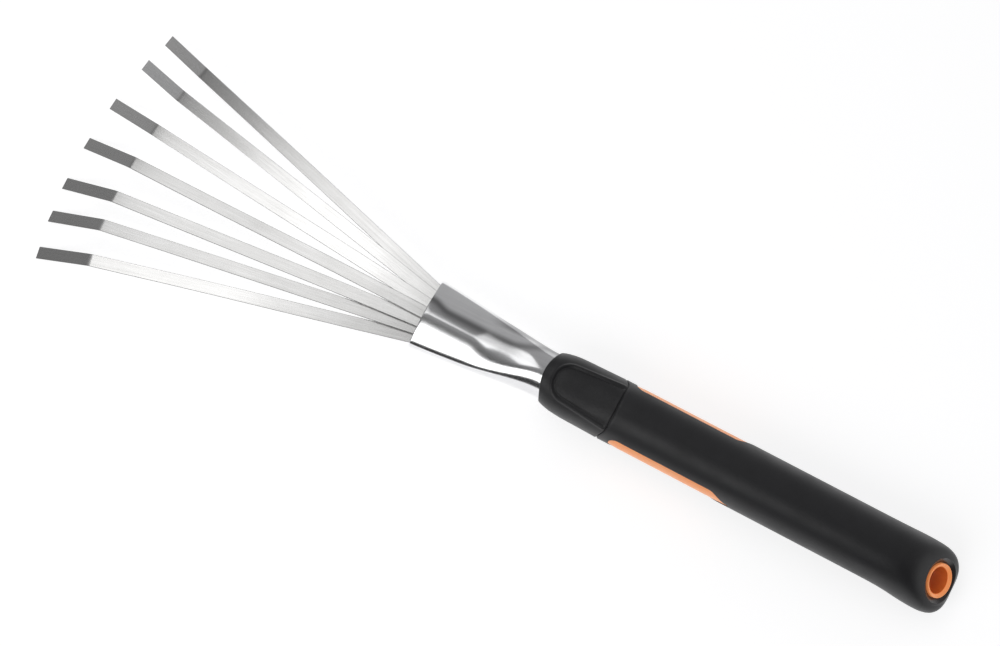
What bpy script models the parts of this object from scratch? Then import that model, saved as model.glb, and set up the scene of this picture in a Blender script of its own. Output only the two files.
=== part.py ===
"""Hand rake: seven flat spring-steel tines riveted inside a flattened steel
socket, an orange plastic core with a black soft grip moulded over it, and a
black nose collar with a thumb panel.

Metres, +Z up. +X runs from the tine tips (front) to the butt of the grip (rear),
+Y to the left of someone looking along +X. The rake lies on its tine tips and on
the heel of the grip, which both touch z = 0, and the origin is the middle of the
bottom of its bounding box. Dimensions below are in millimetres.
"""

import math
from typing import NamedTuple

import bmesh
import bpy
from mathutils import Matrix, Vector

MM = 0.001
SHARP_ANGLE = math.radians(35.0)

# ---------------------------------------------------------------- whole tool
SEAM_X = 50.92  # collar / grip parting line
AXIS_Y = -2.36  # tool axis, beside the middle of the fan
AXIS_Z = 18.0  # height of the handle axis
FIT = 0.3  # clearance between neighbours


# --------------------------------------------------------------------- tines
class Tine(NamedTuple):
    angle: float  # heading in plan from -X towards +Y, degrees
    flare: float  # extra heading of the tip, degrees
    twist: float  # at the bend, degrees
    level: int  # place in the stack, from its middle


TINES = {
    "tine_1": Tine(15.6, 4.0, 13.0, -2),
    "tine_2": Tine(11.25, 6.3, 12.5, 0),
    "tine_3": Tine(5.5, 3.4, 7.5, 2),
    "tine_4": Tine(0.15, 0.6, 0.0, 3),
    "tine_5": Tine(-5.05, -2.0, -5.1, 1),
    "tine_6": Tine(-9.25, -2.7, -9.0, -1),
    "tine_7": Tine(-14.2, 0.3, -2.9, -3),
}
APEX_X = SEAM_X - 47.9  # the rivet, where all the strips cross
APEX_Y = AXIS_Y - 1.0
STRIP_W = 5.4
STRIP_T = 0.75
STACK_PITCH = 0.87  # strip thickness and the clearance to the next one
STACK_Z = 17.7  # middle of the stack
ROOT_BACK = 7.0  # strip behind the rivet

# radii from the rivet
PIVOT_R = 60.1  # where a strip starts to flex
BEND_R = 184.4  # the bend in every tine
STRIP_RADII = [-ROOT_BACK, -3.5, 3.5, 20.0, 40.0, 55.0, 68.0]
STRIP_RADII += [80.0 + 12.0 * i for i in range(9)]
# start and length of the runs over which a strip leaves its level in the
# stack, falls towards the ground and twists
UNSTACK_FROM, UNSTACK_RUN = 63.0, 90.0
FALL_FROM, FALL_RUN = 35.0, 240.0
TWIST_FROM, TWIST_RUN = 50.0, 130.0
HEADING_STEP = 0.5  # radius step that gives a strip's direction

BEND_REACH = 1.4  # the bend takes this much strip on each side of its corner
BEND_STEPS = 5
BEND_Z_GUESS = 12.6
GROUNDING_ROUNDS = 4
TIP_SLOPE = math.radians(25.5)  # below level
TIP_LENGTH = 28.2
TIP_SHARES = (0.4, 0.7, 1.0)  # stations along the tip

# --------------------------------------------------------------------- rivet
RIVET_HOLE_R = 1.5
RIVET_HOLE_REACH = 6.0  # of its cutter, above and below the stack's middle
RIVET_R = 1.25
RIVET_HEAD_R = 2.6
RIVET_HEAD_H = 1.0
RIVET_GAP = 0.2

# -------------------------------------------------------------------- socket
MOUTH_X = SEAM_X - 89.5
MOUTH_Z = STACK_Z + 0.6
MOUTH_HALF_W = 15.5
MOUTH_HALF_H = 3.95
MOUTH_SQUARENESS = 2.0  # added to the power of the oval where it is flattened
ROOF_LEFT = 1.18  # fall of the flattened end on each side of its ridge
ROOF_RIGHT = 1.50
RIDGE_W = 4.0  # the ridge is rounded over this width
TAPER_END_X = SEAM_X - 34.0  # the even taper from the mouth ends here
SWELL_X = SEAM_X - 66.0  # the height swells over this run
SWELL_RUN = 31.0
EVEN_SHARE_H = 0.10  # share of the even taper in the height, the rest swells
EVEN_SHARE_W = 0.65  # share of the even taper in the width, the rest is eased
NECK_R = 10.25
TANG_R = 9.0
WALL = 0.7
RIM = 0.6  # length of the bevelled rim at the mouth
RIM_INSET = 0.35
TUBE_RIM = 1.0  # length of the bevelled rim at the rear end
SWAGE_X = (SEAM_X - 27.0, SEAM_X - 21.0)
TUBE_END_X = SEAM_X + 50.0

# ---------------------------------------------------------------------- grip
SEAM_SECTION = (0.0, 4.35, 31.65, 13.65)  # shared by grip and collar
# x from the seam, bottom, top, half-width
GRIP_STATIONS = (
    SEAM_SECTION,
    (3.0, 4.40, 31.75, 13.60),
    (8.0, 4.15, 31.85, 13.85),
    (30.0, 4.15, 31.85, 13.85),
    (60.0, 4.15, 31.85, 13.85),
    (90.0, 4.15, 31.85, 13.85),
    (116.0, 4.15, 31.85, 13.85),
    (124.0, 4.05, 31.75, 13.90),
    (130.0, 3.30, 31.30, 14.10),
    (134.0, 2.10, 30.70, 14.35),
    (138.4, 0.85, 29.70, 14.55),
    (142.4, 0.15, 28.40, 14.60),
    (145.8, 0.00, 26.80, 14.45),
    (149.0, 0.35, 24.40, 13.85),
    (151.6, 1.35, 21.60, 12.75),
    (153.6, 2.80, 18.60, 11.05),
    (155.1, 4.40, 15.60, 8.70),
    (155.9, 6.20, 12.80, 5.60),
    (156.1, 7.80, 11.20, 2.90),
)
GRIP_R = 13.85
GRIP_FACE_R = 9.0  # inner ring of the front end face
SEAM_GAP = 0.4
SEAM_SLANT = 2.4  # the parting line runs forward by this on the flanks
SLANT_TURN = 0.75  # radians from the top to the slant's start, and over its run

# ---------------------------------------------------------------------- core
CORE_R = 11.2
SPIGOT_R = 10.6
SPIGOT_LENGTH = 8.0
SHOULDER_X = (SEAM_X - 0.5, SEAM_X + 0.8)  # cone from the spigot to the core
CORE_RANGE = (8.0, 149.5)  # grip stations that the core follows, from the seam
CORE_FACET_DEPTH = 2.6  # slanted face of the core below that of the grip
CAVITY_FRONT_X = SEAM_X - 6.0
CAVITY_COUNT = 46  # points round the cavity
CAVITY_EXTRA = 0.4  # cavity beyond the rear end of the core
TANG_BORE_X = (SEAM_X - 20.0, TUBE_END_X + 2.0)

# ------------------------------------------------------------------- windows
WINDOW_X = (SEAM_X + 2.9, SEAM_X + 58.6)
WINDOW_Z = (13.2, 25.6)
WINDOW_Y = (7.3, 18.0)  # cutters run between these distances from the axis
WINDOW_CORNER_R = 4.2
WINDOW_CORNER_STEPS = 6
WINDOW_TAPER = 9.0  # length of the tapered rear end
WINDOW_TAPER_STEPS = 6
WINDOW_TAPER_LEAD = 1.0  # the taper starts this much further forward
WINDOW_TAPER_RISE = 0.42  # share of the height taken from each edge
WINDOW_DEPTH = 0.3  # face of the orange pad below the grip
PAD_SKIN_END = 90.0  # from the seam

# -------------------------------------------------------------- hanging hole
HOLE = Vector((SEAM_X + 149.2, AXIS_Y, 17.2))
HOLE_TILT = math.radians(43.0)  # face normal, from vertical towards the rear
FACET_NORMAL = Vector((math.sin(HOLE_TILT), 0.0, math.cos(HOLE_TILT)))
FACET_BLOCK = 60.0  # edge of the cutters for the slanted faces
HOLE_R = 5.7
HOLE_ABOVE, HOLE_BELOW = 6.0, 40.0  # reach of the hole cutter from the face
EYELET_R = 7.3
EYELET_DROP = 0.55  # rim of the eyelet below the slanted face
EYELET_DEPTH = 12.0
EYELET_BEVEL_W = 1.3
EYELET_BEVEL_H = 0.8
BEVEL_ABOVE, BEVEL_BELOW = 1.0, 0.4  # the bevel's cone runs on by these
SINK_R = 9.2
SINK_DEPTH = 1.35
SINK_ABOVE = 2.0  # the 45 degree countersink runs on above the face

# -------------------------------------------------------------------- collar
# x from the seam, bottom, top, half-width
COLLAR_STATIONS = (
    (-30.6, 6.90, 28.95, 11.10),
    (-30.0, 6.55, 29.20, 11.40),
    (-27.5, 6.00, 29.50, 12.15),
    (-24.0, 5.60, 29.80, 12.75),
    (-19.5, 5.20, 30.00, 13.05),
    (-13.0, 4.90, 30.35, 13.20),
    (-6.5, 4.60, 30.95, 13.40),
    SEAM_SECTION,
)
COLLAR_SQUARENESS = 0.35  # added to the power of the oval at mid-length
COLLAR_FACE_R = 8.0  # inner ring of the end faces
NOSE_REACH = 2.8  # tongue of the nose ahead of its sides
NOSE_FADE = 0.3  # share of the reach lost at each station
NOSE_STATIONS = 3
BORE_RANGE = (-50.0, 6.0)  # from the seam

# thumb recess: x from the seam, half-width, top of the collar
THUMB_STATIONS = (
    (-28.2, 4.0, 29.42),
    (-27.0, 6.2, 29.55),
    (-24.0, 7.5, 29.80),
    (-13.0, 9.0, 30.35),
    (1.0, 10.4, 31.75),
)
THUMB_STEPS = 10
THUMB_CROWN_R = SEAM_SECTION[3]
THUMB_HEADROOM = 3.0  # cutter above the collar's top
PANEL_DEPTH = 0.5


# --------------------------------------------------------------- scene helpers
def clear_scene():
    for obj in list(bpy.data.objects):
        bpy.data.objects.remove(obj, do_unlink=True)


def new_collection(name):
    collection = bpy.data.collections.new(name)
    bpy.context.scene.collection.children.link(collection)
    return collection


def material(name, *, colour, roughness, metallic):
    made = bpy.data.materials.new(name)
    made.use_nodes = True
    shader = made.node_tree.nodes["Principled BSDF"]
    shader.inputs["Base Color"].default_value = (*colour, 1.0)
    shader.inputs["Roughness"].default_value = roughness
    shader.inputs["Metallic"].default_value = metallic
    return made


def add_part(name, mesh, parts, finish):
    obj = bpy.data.objects.new(name, mesh)
    parts.objects.link(obj)
    mesh.materials.append(finish)
    mesh.shade_smooth()
    mesh.set_sharp_from_angle(angle=SHARP_ANGLE)
    return obj


def add_cutter(name, mesh, cutters):
    obj = bpy.data.objects.new(name, mesh)
    cutters.objects.link(obj)
    obj.hide_render = True
    obj.display_type = "WIRE"
    return obj


def boolean(obj, other, operation="DIFFERENCE"):
    modifier = obj.modifiers.new(operation.title() + "_" + other.name, "BOOLEAN")
    modifier.operation = operation
    modifier.object = other
    modifier.solver = "EXACT"


def turn_profile(obj, steps):
    """Sweep a profile once round the object's own Z axis."""
    screw = obj.modifiers.new("Turn", "SCREW")
    screw.steps = screw.render_steps = steps
    screw.use_merge_vertices = True
    screw.merge_threshold = 0.00001


# ---------------------------------------------------------------- mesh helpers
def smooth(share):
    """Ease from 0 to 1, held at both ends."""
    share = min(max(share, 0.0), 1.0)
    return share * share * (3.0 - 2.0 * share)


def to_mesh(name, bm):
    mesh = bpy.data.meshes.new(name)
    bm.to_mesh(mesh)
    bm.free()
    return mesh


def place(bm, middle, direction):
    """Turn a shape's Z axis to a direction and move it to its middle."""
    turn = Vector((0, 0, 1)).rotation_difference(direction).to_matrix().to_4x4()
    bm.transform(Matrix.Translation(middle * MM) @ turn)


def loft(name, rings):
    """A closed solid through rings of the same number of points."""
    bm = bmesh.new()
    made = [[bm.verts.new(Vector(point) * MM) for point in ring] for ring in rings]
    count = len(made[0])
    for one, two in zip(made, made[1:]):
        for i in range(count):
            j = (i + 1) % count
            bm.faces.new((one[i], one[j], two[j], two[i]))
    bm.faces.new(made[0])
    bm.faces.new(made[-1])
    bmesh.ops.recalc_face_normals(bm, faces=bm.faces)
    bmesh.ops.triangulate(bm, faces=bm.faces)
    return to_mesh(name, bm)


def unit_oval(count, power):
    """(turn, across, up) round a superellipse: turn 0 is the top, then to +Y."""
    points = []
    for i in range(count):
        turn = 2.0 * math.pi * i / count
        cosine, sine = math.cos(turn), math.sin(turn)
        across = math.copysign(abs(sine) ** (2.0 / power), sine)
        up = math.copysign(abs(cosine) ** (2.0 / power), cosine)
        points.append((turn, across, up))
    return points


def oval(x, bottom, top, half_width, count=48, power=2.0, shift=None):
    """Ring across the tool; shift(turn) moves its points along X."""
    middle, half = (bottom + top) / 2.0, (top - bottom) / 2.0
    return [
        (x + (shift(turn) if shift else 0.0), AXIS_Y + half_width * across, middle + half * up)
        for turn, across, up in unit_oval(count, power)
    ]


def circle(x, radius, count=48, shift=None):
    """Round ring about the handle axis."""
    return oval(x, AXIS_Z - radius, AXIS_Z + radius, radius, count, shift=shift)


def profile_mesh(name, profile):
    """Open line through (radius, distance along the axis) points."""
    mesh = bpy.data.meshes.new(name)
    mesh.from_pydata(
        [(radius * MM, 0.0, along * MM) for radius, along in profile],
        [(i, i + 1) for i in range(len(profile) - 1)],
        [],
    )
    return mesh


def cylinder_cutter(name, cutters, radius, start, end, segments=48, end_radius=None):
    """Cylinder or cone between two points."""
    start, end = Vector(start), Vector(end)
    bm = bmesh.new()
    bmesh.ops.create_cone(
        bm,
        cap_ends=True,
        segments=segments,
        radius1=radius * MM,
        radius2=(radius if end_radius is None else end_radius) * MM,
        depth=(end - start).length * MM,
    )
    place(bm, (start + end) / 2.0, end - start)
    return add_cutter(name, to_mesh(name, bm), cutters)


# --------------------------------------------------------------------- tines
def plan_directions(angle):
    """Level directions along a strip and across it."""
    heading = math.radians(angle)
    out = Vector((-math.cos(heading), math.sin(heading), 0.0))
    across = Vector((math.sin(heading), math.cos(heading), 0.0))
    return out, across


def strip_height(radius, level, bend_z):
    """Height of the middle of a strip: at its level in the stack at the root,
    then down in a shallow curve to the bend."""
    offset = level * STACK_PITCH * (1.0 - smooth((radius - UNSTACK_FROM) / UNSTACK_RUN))
    fall = smooth((radius - FALL_FROM) / FALL_RUN) / smooth((BEND_R - FALL_FROM) / FALL_RUN)
    return STACK_Z + offset - (STACK_Z - bend_z) * fall


def strip_middle(tine, radius, bend_z):
    out, _ = plan_directions(tine.angle)
    height = strip_height(radius, tine.level, bend_z)
    return Vector((APEX_X, APEX_Y, height)) + out * radius


def strip_frame(tine, radius, bend_z):
    """Middle, direction and width direction of a strip before its bend."""
    out, across = plan_directions(tine.angle)
    rise = strip_height(radius + HEADING_STEP, tine.level, bend_z) - strip_height(
        radius, tine.level, bend_z
    )
    ahead = (out * HEADING_STEP + Vector((0.0, 0.0, rise))).normalized()
    turn = math.radians(tine.twist) * smooth((radius - TWIST_FROM) / TWIST_RUN)
    side = across * math.cos(turn) + across.cross(ahead) * math.sin(turn)
    return strip_middle(tine, radius, bend_z), ahead, side


def square_to(side, ahead):
    """The part of a width direction that is square to the strip."""
    return (side - ahead * side.dot(ahead)).normalized()


def tine_frames(tine, bend_z):
    """Frames of a whole tine: strip, rounded bend and tip."""
    frames = [strip_frame(tine, radius, bend_z) for radius in STRIP_RADII]

    # at the bend the tip turns down and a little sideways
    corner, ahead, side = strip_frame(tine, BEND_R, bend_z)
    heading = math.radians(tine.angle) + math.radians(tine.flare)
    down = Vector(
        (
            -math.cos(heading) * math.cos(TIP_SLOPE),
            math.sin(heading) * math.cos(TIP_SLOPE),
            -math.sin(TIP_SLOPE),
        )
    )
    tip_side = square_to(side, down)
    begin, end = corner - ahead * BEND_REACH, corner + down * BEND_REACH
    for i in range(BEND_STEPS + 1):
        t = i / BEND_STEPS
        middle = begin * (1 - t) ** 2 + corner * 2 * t * (1 - t) + end * t * t
        along = (ahead * (1 - t) + down * t).normalized()
        across = square_to(side * (1 - t) + tip_side * t, along)
        frames.append((middle, along, across))
    for share in TIP_SHARES:
        frames.append((corner + down * TIP_LENGTH * share, down, tip_side))
    return frames


def tine_rings(tine, bend_z):
    rings = []
    for middle, ahead, side in tine_frames(tine, bend_z):
        half = side * STRIP_W / 2.0
        thick = side.cross(ahead) * STRIP_T / 2.0
        rings.append(
            [
                middle - half - thick,
                middle + half - thick,
                middle + half + thick,
                middle - half + thick,
            ]
        )
    return rings


def grounded_bend(tine):
    """Height of the bend at which the tip's lowest corner is on the ground."""
    bend_z = BEND_Z_GUESS
    for _ in range(GROUNDING_ROUNDS):
        tip_ring = tine_rings(tine, bend_z)[-1]
        bend_z -= min(corner.z for corner in tip_ring)
    return bend_z


def build_tines(parts, cutters, steel):
    hole = cylinder_cutter(
        "rivet_hole",
        cutters,
        RIVET_HOLE_R,
        (APEX_X, APEX_Y, STACK_Z - RIVET_HOLE_REACH),
        (APEX_X, APEX_Y, STACK_Z + RIVET_HOLE_REACH),
        segments=24,
    )
    for name, tine in TINES.items():
        bend_z = grounded_bend(tine)
        # the origin of a tine is on the axis about which it flexes
        pivot = strip_middle(tine, PIVOT_R, bend_z)
        mesh = loft(name, tine_rings(tine, bend_z))
        mesh.transform(Matrix.Translation(-pivot * MM))
        obj = add_part(name, mesh, parts, steel)
        obj.location = pivot * MM
        boolean(obj, hole)


def build_rivet(parts, steel):
    """Turned rivet with a rounded head above and below the stack."""
    top_level = max(tine.level for tine in TINES.values())
    half = top_level * STACK_PITCH + STRIP_T / 2.0 + RIVET_GAP
    outer = half + RIVET_HEAD_H
    upper = [
        (0.0, outer),
        (RIVET_HEAD_R * 0.55, outer - 0.1),
        (RIVET_HEAD_R * 0.9, outer - 0.45),
        (RIVET_HEAD_R, half),
        (RIVET_R, half),
    ]
    profile = upper + [(radius, -z) for radius, z in reversed(upper)]
    rivet = add_part("tine_rivet", profile_mesh("tine_rivet", profile), parts, steel)
    rivet.location = Vector((APEX_X, APEX_Y, STACK_Z)) * MM
    turn_profile(rivet, steps=28)


# -------------------------------------------------------------------- socket
def socket_ring(x, inset):
    """Section of the socket: flattened and roofed over the stack of strips,
    steeper on the right, then swelling to the round neck."""
    run = min(max((x - MOUTH_X) / (TAPER_END_X - MOUTH_X), 0.0), 1.0)
    swell = smooth((x - SWELL_X) / SWELL_RUN)
    roundness = EVEN_SHARE_H * run + (1.0 - EVEN_SHARE_H) * swell
    narrowing = EVEN_SHARE_W * run + (1.0 - EVEN_SHARE_W) * smooth(run)
    flatness = 1.0 - roundness
    swage = smooth((x - SWAGE_X[0]) / (SWAGE_X[1] - SWAGE_X[0]))
    radius = NECK_R + (TANG_R - NECK_R) * swage
    half_w = MOUTH_HALF_W + (radius - MOUTH_HALF_W) * narrowing
    half_h = MOUTH_HALF_H + (radius - MOUTH_HALF_H) * roundness
    middle = MOUTH_Z + (AXIS_Z - MOUTH_Z) * roundness
    points = []
    for _, across, up in unit_oval(56, 2.0 + MOUTH_SQUARENESS * flatness):
        y = across * (half_w - inset)
        z = middle + up * (half_h - inset)
        steep = ROOF_RIGHT if y < 0.0 else ROOF_LEFT
        drop = steep * flatness * (math.sqrt(1.0 + (y / RIDGE_W) ** 2) - 1.0)
        points.append((x, AXIS_Y + y, z - drop))
    return points


def build_socket(parts, cutters, steel):
    between = [MOUTH_X + RIM]
    between += [MOUTH_X + 5.0 * i for i in range(1, 12)]
    between += [SEAM_X - 30.0, SWAGE_X[0], SWAGE_X[0] + 2, SWAGE_X[0] + 4, SWAGE_X[1]]

    rings = [socket_ring(MOUTH_X, RIM_INSET)]
    rings += [socket_ring(x, 0.0) for x in between + [TUBE_END_X - TUBE_RIM]]
    rings.append(socket_ring(TUBE_END_X, RIM_INSET))
    tube = add_part("socket_tube", loft("socket_tube", rings), parts, steel)

    # the bore runs on beyond both ends
    bore_x = [MOUTH_X - 1.0] + between + [TUBE_END_X + 1.0]
    rings = [socket_ring(x, WALL) for x in bore_x]
    boolean(tube, add_cutter("socket_bore", loft("socket_bore", rings), cutters))


# ------------------------------------------------------- shared handle shapes
def seam_slant(turn):
    """Forward shift of the seam: none over the top, full on the flanks and below."""
    from_top = abs(math.remainder(turn, 2 * math.pi))
    return -SEAM_SLANT * smooth((from_top - SLANT_TURN) / SLANT_TURN)


def grip_rings(inset, x_from, x_to, count=48, front_shift=None):
    """Rings at the grip stations in a range, inside the grip by an inset."""
    return [
        oval(
            SEAM_X + x,
            bottom + inset,
            top - inset,
            half_width - inset,
            count,
            shift=front_shift if x == 0.0 else None,
        )
        for x, bottom, top, half_width in GRIP_STATIONS
        if x_from <= x <= x_to
    ]


def facet_cutter(name, cutters, offset):
    """Box whose lower face is the slanted face of the butt, raised by an offset."""
    bm = bmesh.new()
    bmesh.ops.create_cube(bm, size=FACET_BLOCK * MM)
    place(bm, HOLE + FACET_NORMAL * (FACET_BLOCK / 2.0 + offset), FACET_NORMAL)
    return add_cutter(name, to_mesh(name, bm), cutters)


def hole_cutter(name, cutters, radius, above, below, **shape):
    """Cylinder or cone on the hanging hole's axis, between distances above and
    below the slanted face."""
    start, end = HOLE + FACET_NORMAL * above, HOLE - FACET_NORMAL * below
    return cylinder_cutter(name, cutters, radius, start, end, **shape)


def window_outline(inset):
    """Side outline of a window: round front, rear end that tapers in an S."""
    x0, x1 = WINDOW_X[0] + inset, WINDOW_X[1] - inset
    z0, z1 = WINDOW_Z[0] + inset, WINDOW_Z[1] - inset
    radius = WINDOW_CORNER_R - inset * 0.5
    points = []
    for middle_z, from_angle in ((z1 - radius, math.pi / 2), (z0 + radius, math.pi)):
        for i in range(WINDOW_CORNER_STEPS + 1):
            angle = from_angle + math.pi / 2 * i / WINDOW_CORNER_STEPS
            x = x0 + radius + radius * math.cos(angle)
            points.append((x, middle_z + radius * math.sin(angle)))

    taper_x = x1 - WINDOW_TAPER
    taper = []
    for i in range(WINDOW_TAPER_STEPS + 1):
        t = i / WINDOW_TAPER_STEPS
        x = taper_x + WINDOW_TAPER * t - WINDOW_TAPER_LEAD * (1 - t)
        taper.append((x, (z1 - z0) * WINDOW_TAPER_RISE * smooth(t)))
    points += [(taper_x - 20.0, z0), (taper_x - 4.0, z0)]
    points += [(x, z0 + rise) for x, rise in taper[1:]]
    points += [(x, z1 - rise) for x, rise in reversed(taper[:-1])]
    points.append((taper_x - 20.0, z1))
    return points


def window_cutter(name, cutters, sign, inset):
    """Window outline given thickness along Y, on the side of the sign."""
    near, far = WINDOW_Y
    y = AXIS_Y + sign * near
    bm = bmesh.new()
    bm.faces.new([bm.verts.new(Vector((x, y, z)) * MM) for x, z in window_outline(inset)])
    obj = add_cutter(name, to_mesh(name, bm), cutters)
    solid = obj.modifiers.new("Thickness", "SOLIDIFY")
    solid.thickness = (far - near) * MM
    solid.offset = 0.0
    obj.location.y = sign * (far - near) / 2.0 * MM
    return obj


# ---------------------------------------------------------------------- core
def build_core(parts, cutters, orange, through):
    """Orange core: spigot, body, window pads and the eyelet of the hole."""
    rings = [
        circle(SEAM_X - SPIGOT_LENGTH, SPIGOT_R),
        circle(SHOULDER_X[0], SPIGOT_R),
        circle(SHOULDER_X[1], CORE_R),
    ]
    rings += grip_rings(GRIP_R - CORE_R, *CORE_RANGE)
    core = add_part("handle_core", loft("handle_core", rings), parts, orange)

    skin_rings = grip_rings(WINDOW_DEPTH, 0.0, PAD_SKIN_END)
    skin = add_cutter("pad_skin", loft("pad_skin", skin_rings), cutters)
    for side, sign in (("left", 1.0), ("right", -1.0)):
        pad = window_cutter("pad_" + side, cutters, sign, FIT)
        boolean(pad, skin, "INTERSECT")
        boolean(core, pad, "UNION")

    boolean(core, facet_cutter("core_facet", cutters, -CORE_FACET_DEPTH))
    eyelet = hole_cutter("eyelet", cutters, EYELET_R, -EYELET_DROP, EYELET_DEPTH)
    boolean(core, eyelet, "UNION")
    boolean(core, through)
    bevel_slope = EYELET_BEVEL_W / EYELET_BEVEL_H
    bevel = hole_cutter(
        "eyelet_bevel",
        cutters,
        HOLE_R + bevel_slope * (EYELET_BEVEL_H + BEVEL_ABOVE),
        BEVEL_ABOVE - EYELET_DROP,
        EYELET_DROP + EYELET_BEVEL_H + BEVEL_BELOW,
        segments=40,
        # kept as the cone's own taper rule, which differs from the upper slope
        end_radius=HOLE_R - EYELET_BEVEL_W * BEVEL_BELOW / EYELET_BEVEL_H,
    )
    boolean(core, bevel)
    tang = cylinder_cutter(
        "tang_bore",
        cutters,
        TANG_R + FIT,
        (TANG_BORE_X[0], AXIS_Y, AXIS_Z),
        (TANG_BORE_X[1], AXIS_Y, AXIS_Z),
    )
    boolean(core, tang)


# ---------------------------------------------------------------------- grip
def build_cavity(cutters):
    """Space for the core inside the grip."""
    radius = CORE_R + FIT
    rings = [circle(CAVITY_FRONT_X, radius, CAVITY_COUNT)]
    rings += grip_rings(GRIP_R - radius, *CORE_RANGE, count=CAVITY_COUNT)
    rings.append([(x + CAVITY_EXTRA, y, z) for x, y, z in rings[-1]])
    cavity = add_cutter("core_cavity", loft("core_cavity", rings), cutters)
    # the cavity stops short of the grip's slanted face, leaving a roof
    boolean(cavity, facet_cutter("cavity_facet", cutters, -CORE_FACET_DEPTH + FIT))
    return cavity


def build_grip(parts, cutters, black, through):
    """Soft black sleeve over the core, open at the windows and the eyelet."""

    def front_shift(turn):
        return SEAM_GAP + seam_slant(turn)

    # the end face runs straight in from its slanted edge
    rings = [circle(SEAM_X, GRIP_FACE_R, shift=front_shift)]
    rings += grip_rings(0.0, 0.0, GRIP_STATIONS[-1][0], front_shift=front_shift)
    grip = add_part("grip_sleeve", loft("grip_sleeve", rings), parts, black)

    boolean(grip, facet_cutter("grip_facet", cutters, 0.0))
    boolean(grip, build_cavity(cutters))
    for side, sign in (("left", 1.0), ("right", -1.0)):
        boolean(grip, window_cutter("window_" + side, cutters, sign, 0.0))
    clearance = hole_cutter(
        "eyelet_clearance", cutters, EYELET_R + FIT, HOLE_ABOVE, EYELET_DEPTH + FIT
    )
    boolean(grip, clearance)
    countersink = hole_cutter(
        "countersink",
        cutters,
        SINK_R + SINK_ABOVE,
        SINK_ABOVE,
        SINK_DEPTH,
        end_radius=SINK_R - SINK_DEPTH,
    )
    boolean(grip, countersink)
    boolean(grip, through)


# -------------------------------------------------------------------- collar
def collar_rings():
    rings = []
    last = len(COLLAR_STATIONS) - 1
    for i, (x, bottom, top, half_width) in enumerate(COLLAR_STATIONS):
        shift = None
        if i < NOSE_STATIONS:
            # tongue of the nose over the top of the steel neck
            reach = NOSE_REACH * (1.0 - NOSE_FADE * i)
            shift = lambda turn, reach=reach: -reach * max(math.cos(turn), 0.0) ** 2
        elif i == last:
            shift = seam_slant
        power = 2.0 + COLLAR_SQUARENESS * math.sin(math.pi * i / last)
        ring = oval(SEAM_X + x, bottom, top, half_width, power=power, shift=shift)
        inner = circle(SEAM_X + x, COLLAR_FACE_R, shift=shift)
        if i == 0:
            rings.append(inner)
        rings.append(ring)
        if i == last:
            rings.append(inner)
    return rings


def collar_bore(cutters):
    """Stepped bore: steel neck, its swaged tang, then the spigot of the core."""
    front, rear = BORE_RANGE
    tang_front = SWAGE_X[1] - 0.2 - SEAM_X
    spigot_front = -SPIGOT_LENGTH - FIT
    profile = [
        (0.0, rear),
        (SPIGOT_R + FIT, rear),
        (SPIGOT_R + FIT, spigot_front),
        (TANG_R + FIT, spigot_front),
        (TANG_R + FIT, tang_front),
        (NECK_R + FIT, tang_front - 1.2),
        (NECK_R + FIT, front),
        (0.0, front),
    ]
    bore = add_cutter("collar_bore", profile_mesh("collar_bore", profile), cutters)
    bore.location = Vector((SEAM_X, AXIS_Y, AXIS_Z)) * MM
    bore.rotation_euler = (0.0, math.pi / 2.0, 0.0)
    turn_profile(bore, steps=44)
    return bore


def thumb_cutter(cutters):
    """Shallow U-shaped recess in the top of the collar, open at the seam: the
    space above a surface that follows the collar's top at the panel's depth."""
    rings = []
    for x, half_width, top in THUMB_STATIONS:
        floor, roof = [], []
        for i in range(THUMB_STEPS + 1):
            y = -half_width + 2.0 * half_width * i / THUMB_STEPS
            fall = THUMB_CROWN_R - math.sqrt(THUMB_CROWN_R**2 - y * y)
            floor.append((SEAM_X + x, AXIS_Y + y, top - fall - PANEL_DEPTH))
            roof.append((SEAM_X + x, AXIS_Y + y, top + THUMB_HEADROOM))
        rings.append(floor + roof[::-1])
    return add_cutter("thumb_recess", loft("thumb_recess", rings), cutters)


def build_collar(parts, cutters, black):
    collar = add_part("front_collar", loft("front_collar", collar_rings()), parts, black)
    boolean(collar, collar_bore(cutters))
    boolean(collar, thumb_cutter(cutters))


# ---------------------------------------------------------------------- build
def build():
    clear_scene()
    parts = new_collection("hand_rake")
    cutters = new_collection("cutters")

    spring_steel = material(
        "spring_steel", colour=(0.34, 0.33, 0.32), roughness=0.38, metallic=1.0
    )
    stainless = material(
        "stainless_steel", colour=(0.62, 0.62, 0.63), roughness=0.30, metallic=1.0
    )
    black_hard = material(
        "black_hard_plastic", colour=(0.018, 0.018, 0.020), roughness=0.48, metallic=0.0
    )
    black_soft = material(
        "black_soft_grip", colour=(0.014, 0.014, 0.016), roughness=0.55, metallic=0.0
    )
    orange = material(
        "orange_plastic", colour=(0.93, 0.30, 0.08), roughness=0.35, metallic=0.0
    )

    build_tines(parts, cutters, spring_steel)
    build_rivet(parts, stainless)
    build_socket(parts, cutters, stainless)
    through = hole_cutter("hanging_hole", cutters, HOLE_R, HOLE_ABOVE, HOLE_BELOW)
    build_core(parts, cutters, orange, through)
    build_grip(parts, cutters, black_soft, through)
    build_collar(parts, cutters, black_hard)


build()
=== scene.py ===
"""A hand rake: seven spring steel tines fanned from one rivet, held in a flattened
stainless socket, with a black collar and a black and orange grip behind it.

The tool lies along X on the floor z = 0. The tines point to -X (the front), and the
butt of the grip, with its hanging hole, to +X. Lengths are in millimetres unless
noted. SEAM_X is the joint between collar and grip."""
import math

import bmesh
import bpy
import numpy as np
from mathutils import Matrix, Vector


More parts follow.
